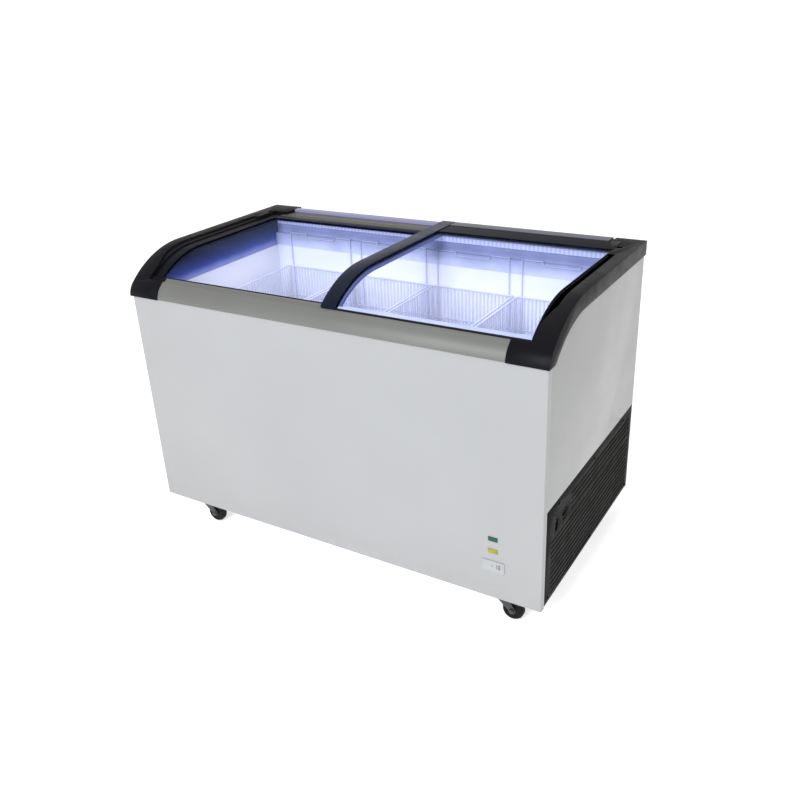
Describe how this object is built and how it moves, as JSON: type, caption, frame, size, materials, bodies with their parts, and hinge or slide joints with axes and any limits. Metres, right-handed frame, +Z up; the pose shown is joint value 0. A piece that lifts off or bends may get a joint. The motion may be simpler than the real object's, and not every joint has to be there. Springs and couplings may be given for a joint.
{
  "type": "chest freezer",
  "caption": "Display chest freezer on casters, with a curved front, sliding glass lids, hanging wire baskets and a louvred side grille over its refrigeration unit.",
  "frame": {"origin": "on the floor, under the middle of the cabinet's width and depth", "axes": "+X along the length towards the grille end, +Y back from the curved front, +Z up"},
  "size_m": [1.3, 0.7066, 0.875],
  "materials": {
    "white_steel": "satin",
    "black_plastic": "satin",
    "rail_grey": "satin",
    "track_aluminium": "satin",
    "foam": "matte",
    "liner_white": "satin",
    "collar_grey": "satin",
    "lid_glass": "polished",
    "seal_rubber": "matte",
    "white_wire": "satin",
    "pale_plastic": "gloss",
    "light_diffuser": "satin",
    "green_lens": "gloss",
    "yellow_lens": "gloss",
    "copper": "satin",
    "compressor_black": "satin",
    "zinc_steel": "satin",
    "caster_steel": "satin",
    "wheel_rubber": "matte"
  },
  "bodies": {
    "cabinet": {"front_panel": "white_steel", "left_side_panel": "white_steel", "right_side_panel": "white_steel", "rear_panel": "white_steel", "base_plate": "zinc_steel", "foam_insulation": "foam", "evaporator_coil": "copper", "inner_liner": "liner_white", "throat_collar": "collar_grey", "front_rail": "rail_grey", "rear_rail": "rail_grey", "rear_track": "track_aluminium", "left_side_frame": "black_plastic", "right_side_frame": "black_plastic", "led_light": "light_diffuser", "side_grille": "black_plastic", "thermostat_body": "pale_plastic", "green_lamp": "green_lens", "yellow_lamp": "yellow_lens", "temperature_display": "pale_plastic", "compressor": "compressor_black", "condenser": "zinc_steel", "fan_shroud": "zinc_steel", "fan_motor": "compressor_black", "filter_drier": "copper", "cord_inlet": "black_plastic", "front_left_caster_plate": "caster_steel", "front_right_caster_plate": "caster_steel", "rear_left_caster_plate": "caster_steel", "rear_right_caster_plate": "caster_steel"},
    "right_lid": {"right_lid_glass": "lid_glass", "right_lid_handle_bar": "black_plastic", "right_lid_edge_trim": "black_plastic", "right_lid_front_seal": "seal_rubber", "right_lid_rear_rail": "black_plastic"},
    "left_lid": {"left_lid_glass": "lid_glass", "left_lid_end_bar": "black_plastic", "left_lid_middle_bar": "black_plastic", "left_lid_front_seal": "seal_rubber", "left_lid_rear_rail": "black_plastic"},
    "basket_1": {"basket_1": "white_wire"},
    "basket_2": {"basket_2": "white_wire"},
    "basket_3": {"basket_3": "white_wire"},
    "basket_4": {"basket_4": "white_wire"},
    "thermostat_knob": {"thermostat_knob": "black_plastic"},
    "power_switch": {"power_switch": "black_plastic"},
    "fan": {"fan_blades": "compressor_black"},
    "front_left_swivel": {"front_left_caster_fork": "caster_steel", "front_left_caster_axle": "zinc_steel"},
    "front_left_wheel": {"front_left_caster_wheel": "wheel_rubber"},
    "front_right_swivel": {"front_right_caster_fork": "caster_steel", "front_right_caster_axle": "zinc_steel"},
    "front_right_wheel": {"front_right_caster_wheel": "wheel_rubber"},
    "rear_left_swivel": {"rear_left_caster_fork": "caster_steel", "rear_left_caster_axle": "zinc_steel"},
    "rear_left_wheel": {"rear_left_caster_wheel": "wheel_rubber"},
    "rear_right_swivel": {"rear_right_caster_fork": "caster_steel", "rear_right_caster_axle": "zinc_steel"},
    "rear_right_wheel": {"rear_right_caster_wheel": "wheel_rubber"}
  },
  "joints": [
    {"name": "right_lid_slide", "type": "slide", "parent": "cabinet", "child": "right_lid", "axis": [1, 0, 0], "range_m": [-0.55, 0]},
    {"name": "left_lid_slide", "type": "slide", "parent": "cabinet", "child": "left_lid", "axis": [1, 0, 0], "range_m": [0, 0.526]},
    {"name": "basket_1_lift", "type": "slide", "parent": "cabinet", "child": "basket_1", "axis": [0, 0, 1], "range_m": [0, 0.025]},
    {"name": "basket_2_lift", "type": "slide", "parent": "cabinet", "child": "basket_2", "axis": [0, 0, 1], "range_m": [0, 0.025]},
    {"name": "basket_3_lift", "type": "slide", "parent": "cabinet", "child": "basket_3", "axis": [0, 0, 1], "range_m": [0, 0.025]},
    {"name": "basket_4_lift", "type": "slide", "parent": "cabinet", "child": "basket_4", "axis": [0, 0, 1], "range_m": [0, 0.025]},
    {"name": "thermostat_turn", "type": "hinge", "parent": "cabinet", "child": "thermostat_knob", "pos_m": [0.64, -0.204, 0.302], "axis": [1, 0, 0], "range_deg": [0, 300]},
    {"name": "power_rocker", "type": "hinge", "parent": "cabinet", "child": "power_switch", "pos_m": [0.643, -0.262, 0.302], "axis": [0, 1, 0], "range_deg": [-14, 0]},
    {"name": "fan_spin", "type": "hinge", "parent": "cabinet", "child": "fan", "pos_m": [0.517, -0.214, 0.245], "axis": [0, 1, 0], "continuous": true},
    {"name": "front_left_swivel_turn", "type": "hinge", "parent": "cabinet", "child": "front_left_swivel", "pos_m": [-0.52, -0.298, 0.08], "axis": [0, 0, 1], "continuous": true},
    {"name": "front_left_wheel_roll", "type": "hinge", "parent": "front_left_swivel", "child": "front_left_wheel", "pos_m": [-0.488, -0.298, 0.03], "axis": [0, 1, 0], "continuous": true},
    {"name": "front_right_swivel_turn", "type": "hinge", "parent": "cabinet", "child": "front_right_swivel", "pos_m": [0.52, -0.298, 0.08], "axis": [0, 0, 1], "continuous": true},
    {"name": "front_right_wheel_roll", "type": "hinge", "parent": "front_right_swivel", "child": "front_right_wheel", "pos_m": [0.552, -0.298, 0.03], "axis": [0, 1, 0], "continuous": true},
    {"name": "rear_left_swivel_turn", "type": "hinge", "parent": "cabinet", "child": "rear_left_swivel", "pos_m": [-0.52, 0.298, 0.08], "axis": [0, 0, 1], "continuous": true},
    {"name": "rear_left_wheel_roll", "type": "hinge", "parent": "rear_left_swivel", "child": "rear_left_wheel", "pos_m": [-0.488, 0.298, 0.03], "axis": [0, 1, 0], "continuous": true},
    {"name": "rear_right_swivel_turn", "type": "hinge", "parent": "cabinet", "child": "rear_right_swivel", "pos_m": [0.52, 0.298, 0.08], "axis": [0, 0, 1], "continuous": true},
    {"name": "rear_right_wheel_roll", "type": "hinge", "parent": "rear_right_swivel", "child": "rear_right_wheel", "pos_m": [0.552, 0.298, 0.03], "axis": [0, 1, 0], "continuous": true}
  ]
}
